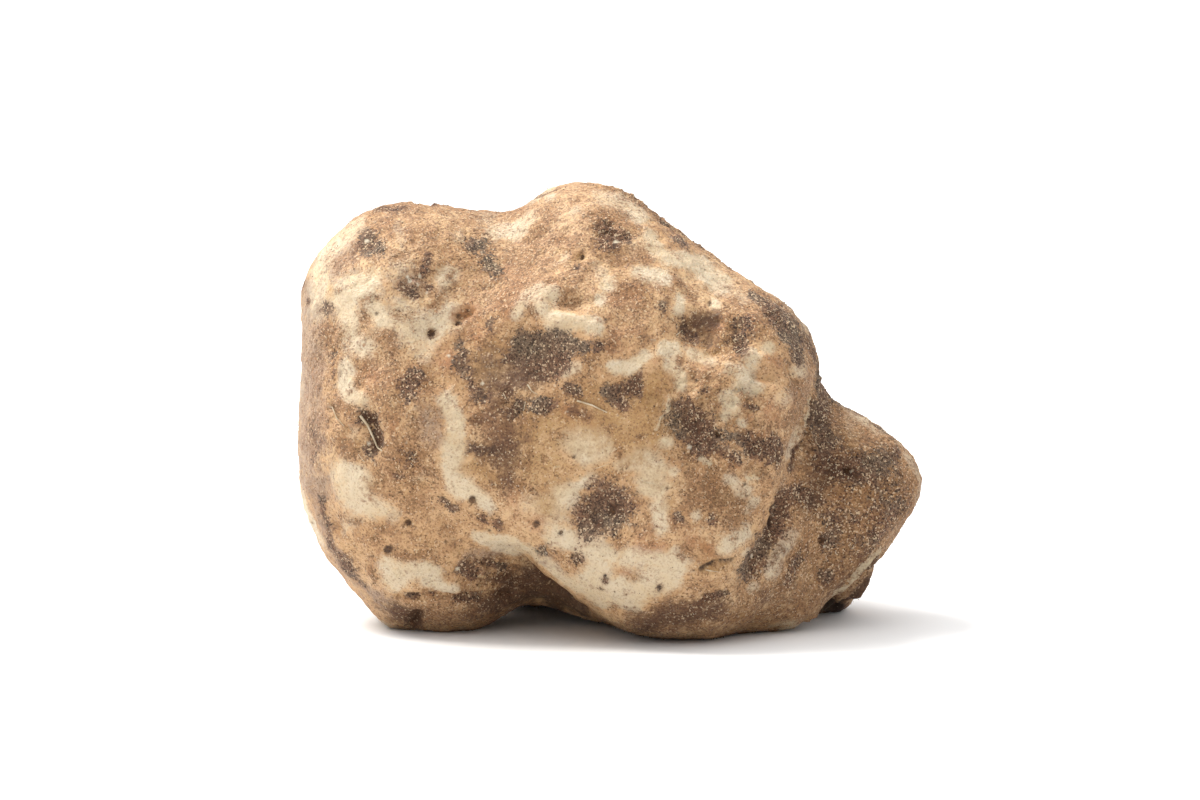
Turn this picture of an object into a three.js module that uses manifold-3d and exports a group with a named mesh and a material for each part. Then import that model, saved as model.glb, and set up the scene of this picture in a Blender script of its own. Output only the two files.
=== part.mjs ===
// A white truffle, resting on its feet. Millimetres, +Z up, +X towards the nose, -Y towards the belly.
// The origin is on the surface it rests on, under the middle of its outer box.
import * as THREE from 'three';
import { mergeVertices } from 'three/addons/utils/BufferGeometryUtils.js';
import { ImprovedNoise } from 'three/addons/math/ImprovedNoise.js';
import Module from 'manifold-3d';

const wasm = await Module();
wasm.setup();

const LENGTH = 60;                // from the tip of the nose to the left flank
const MM = LENGTH / 60;           // the tables below are for a truffle 60 mm long

const BLEND = 1.5 * MM;           // how softly one lobe runs into the next
const BODY_DETAIL = 18;           // cuts along each edge of the icosahedron that is wrapped round the body
const KNOB_DETAIL = 6;            // the same for the hollow under the nose and the foot behind it
const REACH = 42 * MM;            // further from the heart than any of the skin
const NEAR = 0.02 * MM;           // a point this close to the skin is on it
const HEART = new THREE.Vector3(0, 0, 18).multiplyScalar(MM);

// Low lumps all over: how far apart and how high, on the body and on the torn knobs.
const LUMPS = { width: 7 * MM, height: 0.5 * MM };
const TORN_LUMPS = { width: 4 * MM, height: 0.9 * MM };

// Each lobe is one swelling of the body: its middle, then its half sizes, across, back and up.
const LOBES = {
  core: [[0, 2, 21], [16, 16, 14]],
  upper_left: [[-20, 0, 30.2], [9.8, 12, 9.8]],
  saddle: [[-12, 3, 30], [7, 12, 8.6]],
  crown: [[-2, 2, 32.2], [8.6, 12, 9.4]],
  crown_slope: [[5, 1, 28], [9, 13, 9]],
  right_shoulder: [[10.5, -1, 22], [9, 14, 9]],
  left_wall: [[-18.5, -2, 22], [10.5, 13.5, 10]],
  left_flank: [[-20, -1, 15.5], [9.8, 13, 12]],
  left_front: [[-12.5, -8.5, 17], [8.5, 8, 8]],
  left_foot: [[-15, -4, 7.9], [7.8, 9.8, 8]],
  heel: [[-19.3, -5, 2], [1.5, 1.7, 1.9]],
  chest: [[-3, -7, 24], [12, 10, 11]],
  upper_belly: [[2, -8, 18], [11, 10, 9]],
  belly: [[5, -8.5, 9.5], [12.5, 11.5, 8.8]],
  belly_left: [[-6, -7.5, 14], [8, 9, 6.5]],
  right_ridge: [[10.5, -8, 19], [7.5, 9, 12]],
  nose_root: [[18, 1, 12], [8, 10, 8.5]],
  nose: [[23, 0, 15], [5, 8, 4.6]],
  nose_tip: [[26.5, -1, 13.4], [3, 6, 3]],
  nose_jaw: [[21.5, -2, 8.5], [6, 6, 5]],
  front_foot: [[5.8, -11, 4.4], [5.4, 6, 4.6]],
  keel: [[-1, -1, 5.3], [6, 8, 5.2]],
  front_lip: [[13, -6, 5], [8, 5, 5]],
  back_left: [[-13, 11, 20], [10, 9, 12]],
  back_top: [[-3, 11, 29], [9, 9, 8]],
  back_right: [[9, 11, 18], [10, 10, 10]],
  back_knob: [[-1, 16, 13], [7, 6, 7]],
  rear_heel: [[-5, 8, 5.6], [8, 8, 6]],
};

// Furrows and dents, by the points that they run through: across, up. A negative depth is a ridge.
const FRONT_FURROWS = [
  { name: 'nose_crease', points: [[20, 25], [18.6, 20], [17, 14.5], [15, 10], [12.8, 6.5]], width: 1.6, depth: 2 },
  { name: 'belly_fold', points: [[-16.4, 14.4], [-15.5, 11], [-13.5, 8]], width: 1.5, depth: 1 },
  { name: 'under_belly', points: [[-11.5, 6.8], [-8, 5.5], [-4.5, 3]], width: 2.2, depth: 2.5 },
  { name: 'brow', points: [[-7.5, 32], [-5, 30], [-2, 28], [-3.5, 26]], width: 1.7, depth: -0.9 },
  { name: 'under_brow', points: [[-8.5, 26], [-6, 25]], width: 3, depth: 1.2 },
  { name: 'basin', points: [[-2, 19], [5, 20]], width: 3.5, depth: 1.2 },
  { name: 'left_dimple', points: [[8.5, 28]], width: 2, depth: 1.2 },
  { name: 'right_dimple', points: [[13, 27.5]], width: 2, depth: 1 },
  { name: 'crust', points: [[8, 22], [11, 18]], width: 2.5, depth: -0.8 },
];
const BACK_FURROWS = [
  { name: 'spine', points: [[-7, 38], [-6, 30], [-4, 22], [-7, 14], [-12, 7]], width: 2.2, depth: 2 },
  { name: 'rear_fold', points: [[-2, 24], [5, 26], [12, 27]], width: 2, depth: 1.4 },
  { name: 'rear_dimple', points: [[-17, 27]], width: 3.5, depth: 1.6 },
  { name: 'rear_crease', points: [[19, 21], [16, 12], [12, 6]], width: 2, depth: 1.8 },
];

// The outline seen from the belly side, anticlockwise from the tip of the nose: across, up.
const OUTLINE = [
  [30, 13.6], [28.5, 15.8], [25, 18.6], [21.3, 21.7], [20.6, 23.6], [19.4, 26.9], [17.6, 29.9], [13.2, 32.7],
  [8.2, 36], [4.2, 39], [1.8, 40.8], [-2, 42], [-6, 41.3], [-9, 39.4], [-12.5, 38.7], [-18, 39.7],
  [-24.2, 38.5], [-28, 35.3], [-29.5, 31], [-29.2, 26], [-30, 17], [-29.2, 11], [-27.2, 6.2], [-25, 3.3],
  [-22, 1.2], [-19, 0], [-14, 0], [-5, 0.5], [3, 0], [13, 0], [18, 0.8], [22, 2.8], [26.6, 7.8],
];

// The hollow that was torn out under the nose, and the two knobs left behind it, one of them a foot.
const TORN_HOLLOW = [[21.5, 0.2, 1], [9, 4.6, 6.8]];
const REAR_FOOT = [[20.4, 5, 6.3], [5.3, 5.8, 6.9]];
const REAR_ROOT = [[14.5, 8.5, 10.5], [8.5, 6.5, 7]];

const rough = new ImprovedNoise();

function lumpsAt(point, { width, height }) {
  return height * rough.noise(point.x / width, point.y / width, point.z / width);
}

function lobeOf([middle, sizes]) {
  return {
    middle: new THREE.Vector3(...middle).multiplyScalar(MM),
    sizes: new THREE.Vector3(...sizes).multiplyScalar(MM),
  };
}

// Distance from a point to one lobe's skin, less than 0 inside it.
function toLobe({ middle, sizes }, point) {
  const p = point.clone().sub(middle).divide(sizes);
  const q = p.clone().divide(sizes);
  return p.length() * (p.length() - 1) / Math.max(q.length(), 1e-9);
}

const lobes = Object.values(LOBES).map(lobeOf);

function toLobes(point) {
  const sum = lobes.reduce((total, lobe) => total + Math.exp(-toLobe(lobe, point) / BLEND), 0);
  return -BLEND * Math.log(sum);
}

// Where a line from a middle, followed inwards from far away, first meets the skin.
function skinAlong(middle, direction, toSkin) {
  const at = (distance) => middle.clone().addScaledVector(direction, distance);
  let far = REACH;
  for (let gap = toSkin(at(far)); gap > NEAR && far > 0; gap = toSkin(at(far))) {
    far -= Math.max(0.6 * gap, NEAR);
  }
  return at(far);
}

// A furrow's points, close together and laid on the lobes' skin on one side of the body.
function layFurrow({ points, width, depth }, side) {
  const middles = points.map(([x, z]) => new THREE.Vector3(x, 0, z).multiplyScalar(MM));
  const route = middles.length > 1 ? new THREE.CatmullRomCurve3(middles).getSpacedPoints(16) : middles;
  return {
    spots: route.map((spot) => skinAlong(spot, side, toLobes)),
    width: width * MM,
    depth: depth * MM,
  };
}

const furrows = [
  ...FRONT_FURROWS.map((furrow) => layFurrow(furrow, new THREE.Vector3(0, -1, 0))),
  ...BACK_FURROWS.map((furrow) => layFurrow(furrow, new THREE.Vector3(0, 1, 0))),
];

function toBody(point) {
  const cut = furrows.reduce((total, { spots, width, depth }) => {
    const near = Math.min(...spots.map((spot) => spot.distanceToSquared(point)));
    return total + depth * Math.exp(-near / (width * width));
  }, 0);
  return toLobes(point) + cut + lumpsAt(point, LUMPS);
}

// A sphere of triangles, shrunk on to a skin from outside.
function wrap(middle, detail, toSkin) {
  const sphere = new THREE.IcosahedronGeometry(1, detail);
  sphere.deleteAttribute('normal');
  sphere.deleteAttribute('uv');
  const skin = mergeVertices(sphere, 1e-4);
  const places = skin.attributes.position;
  const direction = new THREE.Vector3();
  for (let i = 0; i < places.count; i++) {
    direction.fromBufferAttribute(places, i).normalize();
    places.setXYZ(i, ...skinAlong(middle, direction, toSkin));
  }
  return skin;
}

// Seen from the belly side, the directions about the heart are counted in SECTORS.
const SECTORS = 72;

function sectorOf(x, z) {
  const turn = Math.atan2(z - HEART.z, x - HEART.x) / (2 * Math.PI);
  return THREE.MathUtils.euclideanModulo(turn, 1) * SECTORS;
}

// The furthest that a cloud of places reaches in each sector.
function reachBySector(places) {
  const reach = new Array(SECTORS).fill(0);
  for (const { x, z } of places) {
    const sector = Math.round(sectorOf(x, z)) % SECTORS;
    reach[sector] = Math.max(reach[sector], Math.hypot(x - HEART.x, z - HEART.z));
  }
  return reach;
}

// A list's value at a sector, evened out with the sectors on either side.
function evenedAt(list, sector) {
  const low = Math.floor(sector) + SECTORS;
  const value = (i) => (list[(i - 1) % SECTORS] + 2 * list[i % SECTORS] + list[(i + 1) % SECTORS]) / 4;
  return THREE.MathUtils.lerp(value(low), value(low + 1), sector % 1);
}

// Trues the body's edge up to the outline. Near the line through the heart nothing moves.
function fitToOutline(skin) {
  const places = skin.attributes.position;
  const corners = OUTLINE.map(([x, z]) => new THREE.Vector3(x, 0, z).multiplyScalar(MM));
  const wanted = reachBySector(new THREE.CatmullRomCurve3(corners, true).getPoints(40 * SECTORS));
  const present = reachBySector(Array.from({ length: places.count }, (_, i) => (
    new THREE.Vector3().fromBufferAttribute(places, i)
  )));
  const stretches = wanted.map((reach, i) => reach / present[i]);
  for (let i = 0; i < places.count; i++) {
    const x = places.getX(i) - HEART.x;
    const z = places.getZ(i) - HEART.z;
    const sector = sectorOf(places.getX(i), places.getZ(i));
    const share = THREE.MathUtils.smoothstep(Math.hypot(x, z) / evenedAt(present, sector), 0.3, 0.9);
    const stretch = THREE.MathUtils.lerp(1, evenedAt(stretches, sector), share);
    places.setX(i, HEART.x + x * stretch);
    places.setZ(i, HEART.z + z * stretch);
  }
  return skin;
}

function solid(geometry) {
  return new wasm.Manifold(new wasm.Mesh({
    numProp: 3,
    vertProperties: geometry.attributes.position.array,
    triVerts: new Uint32Array(geometry.index.array),
  }));
}

// A rough ellipsoid, as torn flesh leaves it.
function knob(shape) {
  const lobe = lobeOf(shape);
  return solid(wrap(lobe.middle, KNOB_DETAIL, (point) => toLobe(lobe, point) + lumpsAt(point, TORN_LUMPS)));
}

// All that is below the surface the truffle rests on.
function ground() {
  const box = new THREE.BoxGeometry(3 * LENGTH, 3 * LENGTH, LENGTH).translate(0, 0, -LENGTH / 2);
  box.deleteAttribute('normal');
  box.deleteAttribute('uv');
  return solid(mergeVertices(box, 1e-4));
}

// The mesh of a solid, with the middle of its outer box over the origin.
function geometryOf(manifold) {
  const { vertProperties, triVerts } = manifold.getMesh();
  const geometry = new THREE.BufferGeometry();
  geometry.setAttribute('position', new THREE.BufferAttribute(vertProperties, 3));
  geometry.setIndex(new THREE.BufferAttribute(triVerts, 1));
  geometry.computeBoundingBox();
  const middle = geometry.boundingBox.getCenter(new THREE.Vector3());
  geometry.translate(-middle.x, -middle.y, 0);
  geometry.computeVertexNormals();
  return geometry;
}

const body = solid(fitToOutline(wrap(HEART, BODY_DETAIL, toBody)))
  .subtract(knob(TORN_HOLLOW))
  .add(knob(REAR_FOOT))
  .add(knob(REAR_ROOT))
  .subtract(ground());

const truffle = new THREE.Mesh(
  geometryOf(body),
  new THREE.MeshStandardMaterial({ color: 0xb08e6d, roughness: 0.85, metalness: 0 }),
);
truffle.name = 'truffle';

const part = new THREE.Group();
part.add(truffle);
export default part;
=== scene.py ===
import math
import random

import bpy
import numpy as np
from mathutils import Matrix, Vector, noise
from mathutils.bvhtree import BVHTree


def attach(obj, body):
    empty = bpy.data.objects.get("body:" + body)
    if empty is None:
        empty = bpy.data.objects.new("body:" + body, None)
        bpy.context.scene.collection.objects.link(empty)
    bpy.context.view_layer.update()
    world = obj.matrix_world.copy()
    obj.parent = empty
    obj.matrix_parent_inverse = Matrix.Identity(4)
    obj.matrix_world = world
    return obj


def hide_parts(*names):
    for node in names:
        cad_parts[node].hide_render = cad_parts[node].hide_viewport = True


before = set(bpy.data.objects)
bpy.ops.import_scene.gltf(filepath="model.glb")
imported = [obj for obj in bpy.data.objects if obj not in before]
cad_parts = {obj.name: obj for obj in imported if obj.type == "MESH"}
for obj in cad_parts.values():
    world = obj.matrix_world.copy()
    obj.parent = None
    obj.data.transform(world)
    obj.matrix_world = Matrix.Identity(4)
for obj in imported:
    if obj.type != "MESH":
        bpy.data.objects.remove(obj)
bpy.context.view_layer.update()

# A white truffle on a pale floor. Blender works in metres; the tables below are in millimetres.
MM = 0.001

SEED = 11

# The camera. The marks of the belly side are laid along its lines of sight.
LENS = 120
SENSOR = 36
EYE = (-1.06, -382.5, 61.4)
TARGET = (-1.06, 0, 21.2)
READ_DEPTH = -12            # the upright plane on which their places are given
MISS_REACH = 1.03           # where a sight line that misses the skin ends, as a share of the way there

# The skin's own mesh.
SEAM = 0.002                # corners of the solid that are closer than this become one
SKIN_VOXEL = 0.68           # size of the even squares that the body is remade from
SKIN_SMOOTHING = 6          # passes that take the steps off those squares
LEAST_WEIGHT = 0.01         # a fainter mark leaves the skin's shape alone
SWELLINGS = (2.6, 0.6)      # how large the lumps are, and how high: all over the skin,
DIMPLES = (1, 0.35)         # finer ones all over the skin,
CRUMBS = (0.8, 1.15)        # and sharp ones where it is crumbly

# How marks lie on the skin.
STEP = 0.4                  # longest stretch of a mark's line that is laid in one piece
MARK_REACH = 3.5            # a mark has faded out at this many half widths
TINY = 1e-9                 # stands for a dot's line, which has no length
SLOPE_SHARE = 0.35          # how much of a slope's depth counts when a mark on the belly side is laid
WANDER = [(2.4, 0.8), (0.8, 0.4)]   # waves that a mark's edge strays in: how long, how far out
WANDER_WIDTH = 1.7          # half width from which a mark's edge strays in full

# Marks on the sides that the tables leave bare.
FAR_SIDE = -0.1             # normals there point less far forwards than this
TRAIL_STEPS = [0, 1, 2, 3, 5]
TRAIL_STRIDE = 0.8          # length of such a step, in half widths
TRAIL_TURN = 0.8            # how sharply a trail may turn at a step
SCAR_WIDTH = 1              # a scar is thin, but steps out as a mark of this half width does
PIT_DEPTH = 0.5
PIT_WIDTH = 0.3             # half width of the narrowest pit
SOIL_CRUMBS = 0.8           # how crumbly the skin is under dried soil

# Loose grains and hairs.
GRAIN_COUNT = 8000          # grains of each kind
GRAIN_RADIUS = (0.02, 0.06)
CLEAN_DIRT = 0.05           # how many lie on clean skin, where 1 is the number on dried soil
GRAIN_STRETCH = (0.7, 1.2)
GRAIN_SLIP = 0.15           # how far a grain may lie from its point of the skin, each way
GRAIN_LIFT = 0.02           # how far its middle stands off the skin
GRAIN_FACETS = 900          # size of the bumps on the ball of 1 m radius that a grain is shaped from
GRAIN_KNOCK = 0.9           # how far they move its corners
HAIR_LIFT = 0.03            # how far a hair's ends stand off the skin,
HAIR_ARCH = 0.15            # and how much further its middle does
HAIR_TAPER = 0.5            # how much of its thickness a hair loses along the way

# The skin's paint.
PIGMENT_DEPTH = 0.79        # how deep the colours are laid on, under the studio's strong light
DOT_WANDER = 0.3            # how far a dot's edge strays in all
DOT_EDGE = 0.22             # how wide its soft edge is
BUMP_HEIGHT = 0.28          # how far the finest crumbs stand out
FLESH_GLOW = (1, 0.5, 0.25) # how far red, green and blue light goes under the skin, compared
FLESH_DEPTH = 0.5           # and how far red goes

# The studio, in metres.
FLOOR_SIZE = 60
HORIZON_GLOW = 0.46
OVERHEAD_GLOW = 1.6
GLOW_CURVE = 1.5            # how fast the sky brightens towards the top
LIGHT_AIM = (0, 0, 0.02)

# Marks on the belly side. Each one is its half width, then the points that it runs through: across, up.
# A table starts with how strongly its marks cover the skin.
COVER = {
    "cream": [
        (0.95, [
            (1.6, (-25.2, 37.4), (-26.8, 35.2)), (1.4, (-27.4, 32.6), (-27.2, 30.6)),
            (1.3, (-24.4, 33.1), (-22.6, 33.3)), (1.1, (-24.9, 31.4), (-24.4, 29.4)),
            (0.9, (-23.4, 38.7)), (0.9, (-22.2, 31.2), (-21.2, 30)),
            (1.6, (-18.6, 29.2), (-15.8, 29.9)), (0.8, (-15.6, 33.6), (-14.8, 34.2)),
            (0.8, (-5.4, 29), (-4.6, 29.4)), (1.1, (-24.2, 27.8), (-22.8, 27.4)),
            (0.8, (-24.8, 25.6), (-24.9, 23.8)), (0.8, (-24.2, 22.9), (-23.3, 22.4)),
            (1.2, (-25.2, 15.8), (-23.8, 15.2)), (1.4, (-24.4, 13.6), (-23, 12.6)),
            (0.9, (-15.2, 22.4), (-14.8, 20.8), (-14.6, 19.4)),
            (1.1, (-15, 17.6), (-14.8, 16), (-14.2, 14.6)),
            (0.7, (-13.4, 14), (-12.2, 12.9), (-11.4, 12.4)), (0.6, (-12.4, 9.6), (-11, 9.2)),
            (0.7, (-10.4, 8.7), (-9, 8.2)), (1.1, (-20.8, 6.7), (-20, 5.3)),
            (0.8, (-18.8, 6.6), (-16.4, 6.2)), (0.5, (-17.4, 5.2), (-14.6, 4.7)),
            (0.8, (-10.7, 38), (-8.9, 38.2)), (0.8, (-8.6, 38.4), (-7.6, 39.4)), (0.7, (-5.7, 41.3)),
            (1.1, (1.2, 41.2), (2.6, 39.8)), (0.7, (3.6, 37.6), (4.2, 36.2)),
            (0.7, (5.4, 35.7), (8.6, 35.3)), (0.8, (2.4, 34.3), (4.8, 33.9)), (0.7, (-0.3, 33.3)),
            (0.6, (-1.1, 31.8)), (1.2, (8.8, 34.2), (10.4, 33.4)), (0.6, (9.6, 31.4)),
            (0.5, (6.3, 32.1), (6.3, 30.8)), (0.6, (-4.3, 25), (-3.3, 25.4)),
            (0.6, (0.2, 25.5), (1.5, 25.5), (3.2, 26.7)), (0.7, (4.8, 27.4), (6, 27.3)),
            (0.6, (7.6, 26.8), (9.2, 26.3)), (0.6, (5.4, 25.7), (6.4, 24.8), (6.5, 23.9)),
            (0.6, (14.6, 27.2)), (0.7, (13, 26.6)), (0.8, (17.6, 25.4)),
            (0.8, (-2.2, 19.4), (-1, 19.2)), (1.3, (-3.4, 18.4), (-2.2, 17.6)),
            (0.8, (11, 22.8), (11.4, 21.8)), (0.6, (0.8, 16.4), (1.8, 16.6)),
            (1.3, (3.2, 16.7), (4, 16.2)), (0.8, (3, 14.4), (4.4, 14)), (0.4, (5.8, 15.6)),
            (0.5, (4.8, 18.6), (5.4, 18.6)), (0.5, (-4.8, 13.5), (-3.6, 14.4), (-1.8, 15.2)),
            (1.1, (-5, 9.5), (-3, 9.1), (-0.6, 8.1)), (1, (1.6, 7.6), (4.4, 7.6), (6.4, 6.8)),
            (1.3, (-1.4, 6.2), (0, 4.6), (3, 4.6), (5.6, 5.8)), (1, (-2.2, 5), (-1, 4)),
            (0.6, (0.8, 3.2), (2.2, 3)), (1, (-2, 4.8), (-1, 3.8)), (0.9, (-2.6, 9), (-1.6, 8.8)),
            (0.9, (-4.6, 13.6), (-4, 13.2)),
            (0.6, (-11.6, 9.6), (-9, 9), (-7, 8), (-5.6, 6.9), (-4.2, 5.6), (-3, 4.6)),
            (0.7, (16.7, 9.6), (15.7, 7.8), (15.1, 6.5)), (0.8, (4.4, 12.2), (4.6, 10.6)),
            (0.5, (7.9, 11.7)), (0.8, (12.6, 10.2), (10.6, 8.6)), (0.7, (11.2, 14.8), (12.6, 14)),
            (0.5, (13.4, 12.9), (12.9, 12.2)), (0.5, (12.7, 8.1)), (0.6, (13.2, 4.8)),
            (0.7, (17.1, 19.4), (16.5, 17.4)), (0.6, (27.8, 17), (28.7, 15.4)),
            (0.5, (28.8, 14.6), (28.5, 12.6)), (0.35, (28, 11.6), (27, 10)),
            (0.4, (17, 1.6), (15, 1.1)), (0.4, (10.6, 20.8)), (0.4, (12.2, 20.4)), (0.5, (13.6, 23.6)),
            (0.8, (12.2, 24.2), (13, 23.8)), (0.9, (-1.6, 18.6), (-0.8, 18)),
        ]),
        (0.9, [
            (0.6, (-8.7, 30.4), (-8, 32.2), (-6.5, 32.8), (-5.4, 32.2)),
            (0.8, (-6.5, 31.2), (-5.3, 30.2), (-3.6, 29.6), (-1.4, 29.3)),
        ]),
        (0.6, [
            (0.5, (-19.8, 38.8), (-19.5, 37)), (0.9, (-14.2, 37.6)), (1, (-19.4, 31.6)),
            (0.8, (-3.4, 40)), (1.4, (-0.6, 41.4)), (1, (-17.6, 26.6)),
            (0.5, (-28.8, 14), (-27.9, 11), (-27, 9)), (1.1, (-24.6, 10.4)), (1.6, (-11.6, 39.6)),
            (0.9, (-24.2, 19.4)), (0.9, (2, 37)), (0.7, (-17.9, 15)), (0.8, (12.2, 32)),
            (0.9, (12.6, 25.2)), (0.8, (11, 25.6)), (1.1, (15.8, 22.6)),
            (0.5, (22, 20.4), (22.6, 18.4)), (0.7, (17.2, 9.6), (15.6, 7.4), (14.9, 6.2)),
            (0.9, (-21.2, 12.4), (-20.2, 11.6)), (1.6, (-7, 12.6), (-5.4, 12)), (0.8, (6, 8)),
            (0.6, (18, 17)), (1, (22.6, 11.6)), (0.7, (-9.4, 9.4)), (1.2, (-19.6, 34.8)),
            (1, (-1, 34.6)), (0.7, (-4.4, 35.6)),
        ]),
    ],
    "ochre": [
        (0.45, [
            (1.6, (0.6, 18), (3.6, 19.4)), (1.2, (-2, 15.8), (3, 16.6)),
            (1.2, (4.4, 14.6), (5.4, 12.4)), (1.4, (-20.6, 21), (-19.4, 18)),
            (1.6, (-16, 34), (-12, 36)), (1.4, (-1, 36), (2.6, 33)), (1.2, (-22.2, 14.8)),
        ]),
        (0.85, [
            (2, (-8.4, 19.4), (-4, 20.8), (0, 21)), (1.6, (3, 22.4), (3.4, 20)),
            (1.6, (-8.6, 16.4), (-5.8, 16.2)), (1, (4.4, 24), (3.6, 23)), (0.9, (-2, 23.2)),
            (0.8, (-2.4, 26.4)), (1.2, (-12.8, 16.4), (-11.4, 15.2)), (1.2, (-11.7, 26)),
            (0.7, (-24, 18.6)), (1.4, (9, 29.5), (9.6, 28.8)), (0.7, (10.6, 27.8), (9, 27.2)),
            (1.6, (-11.6, 26.8), (-11.2, 25.4)), (0.5, (3.4, 32)), (0.5, (-3.3, 35.8)),
            (0.4, (-14.3, 30.3), (-13, 30.9)), (0.35, (-16.7, 28.8)), (1.1, (-6.2, 12.6)),
            (0.8, (8.6, 8.8)), (0.5, (9, 6.6), (10.6, 6.8)), (1.2, (22.2, 19), (22.4, 17.6)),
            (0.8, (14.2, 28.6)), (1.4, (22, 13.6), (25, 13.2)), (1, (12, 2.2), (15, 1.8)),
            (0.7, (-17.8, 14.6)), (0.5, (18.4, 17.4), (17.8, 15.6)),
        ]),
    ],
    "rust": [
        (0.8, [
            (0.9, (0.4, 31.9), (2, 32.3)), (0.8, (-9, 33.4)), (0.6, (-9.8, 34.6)),
            (1, (-12.4, 21), (-11.4, 20)), (1, (-9.6, 14), (-9, 12.8)), (1.1, (-22.4, 24.8)),
            (0.6, (-4.2, 21.4), (-2.2, 21.2)), (0.5, (-10, 19.6), (-9.4, 18)), (0.5, (14.6, 26.2)),
            (0.3, (15.5, 26.2)), (0.3, (13.8, 24.4)), (0.6, (-14.4, 30.3), (-12.9, 30.9)),
            (0.5, (-14.2, 30.4), (-13, 30.9)), (0.7, (-7, 10.7)), (0.3, (4.2, 26.1)),
            (0.3, (-15.6, 36.2)), (0.3, (0.7, 6.2), (1.4, 6.2)), (0.7, (2.6, 8.9), (4.6, 9)),
            (0.7, (7.6, 9.2), (9, 8.8)), (0.5, (0, 27.2), (0.4, 28.6)), (1.1, (14.8, 21.4)),
            (0.3, (13, 19), (14.5, 19.2)), (0.25, (12.8, 21.1)), (0.6, (12.9, 29.6)),
            (0.9, (-15.2, 27.4), (-15.4, 25.6)), (0.9, (-12.4, 28.6)), (0.4, (12.3, 16.4)),
            (0.8, (10.4, 17.4)), (0.7, (-20.8, 15.4)), (1, (-9.4, 31.2)), (0.8, (-20.4, 20)),
            (0.8, (8.8, 29.7), (9.8, 29.6)),
        ]),
    ],
    "soil": [
        (0.6, [
            (2.8, (17.6, 4), (13, 2.6)), (1.2, (-24.9, 35.4)), (1.9, (11.8, 30.7), (14.4, 30.2)),
            (1, (11, 33)), (1.4, (11, 26.6)), (1.4, (-9.6, 32.6)), (1.3, (-5.8, 40.6)),
            (1.4, (20.4, 22.4)), (1.2, (-6.6, 36.6)), (2, (-10, 20), (-9.6, 16)), (1.4, (-20.6, 24.4)),
            (1.2, (18.4, 24.6)), (1.4, (-7.6, 33.6), (-9.8, 31.8)), (1.2, (-18.8, 38)),
            (1.6, (17.4, 20.6), (15.6, 16.8)), (1.8, (18, 12), (19.4, 14.6)), (1.2, (-1.6, 25.8)),
            (1.6, (21.2, 21.2), (25, 19.4)), (1.2, (19.4, 23.2)), (1.1, (-24.4, 27.2)),
            (1.2, (6.8, 2.4)), (1, (26.4, 18.2)), (1, (18.8, 26)), (1.1, (-19, 13)),
            (1.5, (-25.9, 35.3)), (1.2, (-7.4, 36.4)),
        ]),
        (0.36, [
            (3.4, (-17.6, 36)), (1.8, (-13.2, 34.6)), (2, (-16.8, 39.2)), (2.6, (-9, 35.4)),
            (2, (-12, 38.2)), (3, (-1, 38.6)), (2.6, (2, 36)), (2, (-3, 33.4)), (2.2, (3.6, 31.4)),
            (2, (2.6, 29.4)), (2.6, (-12.4, 29)), (2, (-20.4, 27.4)), (2.4, (-27, 26), (-27.2, 20)),
            (2.4, (-18.6, 23.4)), (2.4, (-21, 21), (-19.6, 18.4)), (2.2, (-22, 15.8), (-19, 13.8)),
            (1.6, (-18.4, 8.4)), (1.4, (-21.8, 10)), (2, (-13, 10.8)), (2, (-9.6, 22.4)),
            (1.8, (-4, 23)), (2.2, (8.6, 22)), (2.2, (13, 18.6)), (2.4, (9.4, 15.6)), (2.4, (10.4, 12)),
            (1.6, (11.6, 28.6)), (2, (16.4, 29.6)), (1.6, (17, 22)), (1.4, (12.6, 22.4)),
            (1.4, (-10, 13)), (2, (3, 10)), (1.6, (-5, 7.4)), (2, (-24.6, 8)), (1.8, (-22, 38.6)),
        ]),
        # Rows from (3.6, 1) and (-18, 2.2) darken the bottom edge; those at (-9.4, 5.4) and (-10.4, 7.2) are
        # painted shade on the wall under the belly's lip.
        (0.92, [
            (5, (22, 12), (20, 6)), (2.4, (27.4, 14), (28, 12)), (2, (19, 21), (20, 17), (23, 15.4)),
            (1.9, (3.6, 1), (8, 2.4)), (2.2, (-18, 2.2), (-12, 2.6)), (1.8, (-9.4, 5.4), (-7.6, 5.6)),
            (0.5, (-10.4, 7.2)), (1.2, (7.6, 13.8), (9.2, 13.4)),
        ]),
        # Of these, (-10.4, 5.8) is painted shade under the belly's lip, and (-19.4, 1.8) darkens the heel
        # nub's underside.
        (0.95, [
            (0.8, (-26.4, 29.2), (-26.2, 27.8)), (0.7, (-25.2, 28.8)),
            (0.55, (-23.2, 30.5), (-22.9, 29.8)), (0.3, (-23.4, 31.7), (-21.8, 32.1)),
            (0.3, (-23.5, 28.9)), (0.25, (-23, 28.3)), (0.3, (-25.2, 32.6)), (0.4, (-22, 39.7)),
            (0.3, (-20.6, 39)), (0.6, (-19.5, 35.8)), (0.5, (-21.2, 28.2), (-20.4, 28.3)),
            (0.5, (-20.5, 26.9)), (0.45, (-19.9, 30.4), (-18.6, 30.2)), (0.7, (-16.6, 31.4)),
            (0.3, (-15, 33.9)), (0.6, (-7.4, 37.6), (-6.6, 38.7), (-6, 39.7)),
            (0.6, (-8.8, 35.7), (-7.3, 35.4)), (0.6, (-4.8, 37.5), (-4.1, 37.6)),
            (1, (-1.2, 39.2), (0.6, 39.6)), (0.5, (3.2, 35.6)), (0.5, (-5, 31.8), (-3.4, 31.6)),
            (0.4, (-7.4, 30.7)), (0.3, (-6.2, 33.6), (-5.2, 33.4)), (0.5, (-4.3, 33.6)),
            (0.4, (5.9, 33.7), (6.8, 33.2), (7.4, 32.2)), (0.6, (0.4, 31.8), (1.4, 32), (2.2, 32.6)),
            (0.5, (2.8, 31)), (0.4, (0.2, 28.6), (-0.1, 27.6)), (0.4, (-9.9, 31.8), (-10.1, 30.6)),
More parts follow.
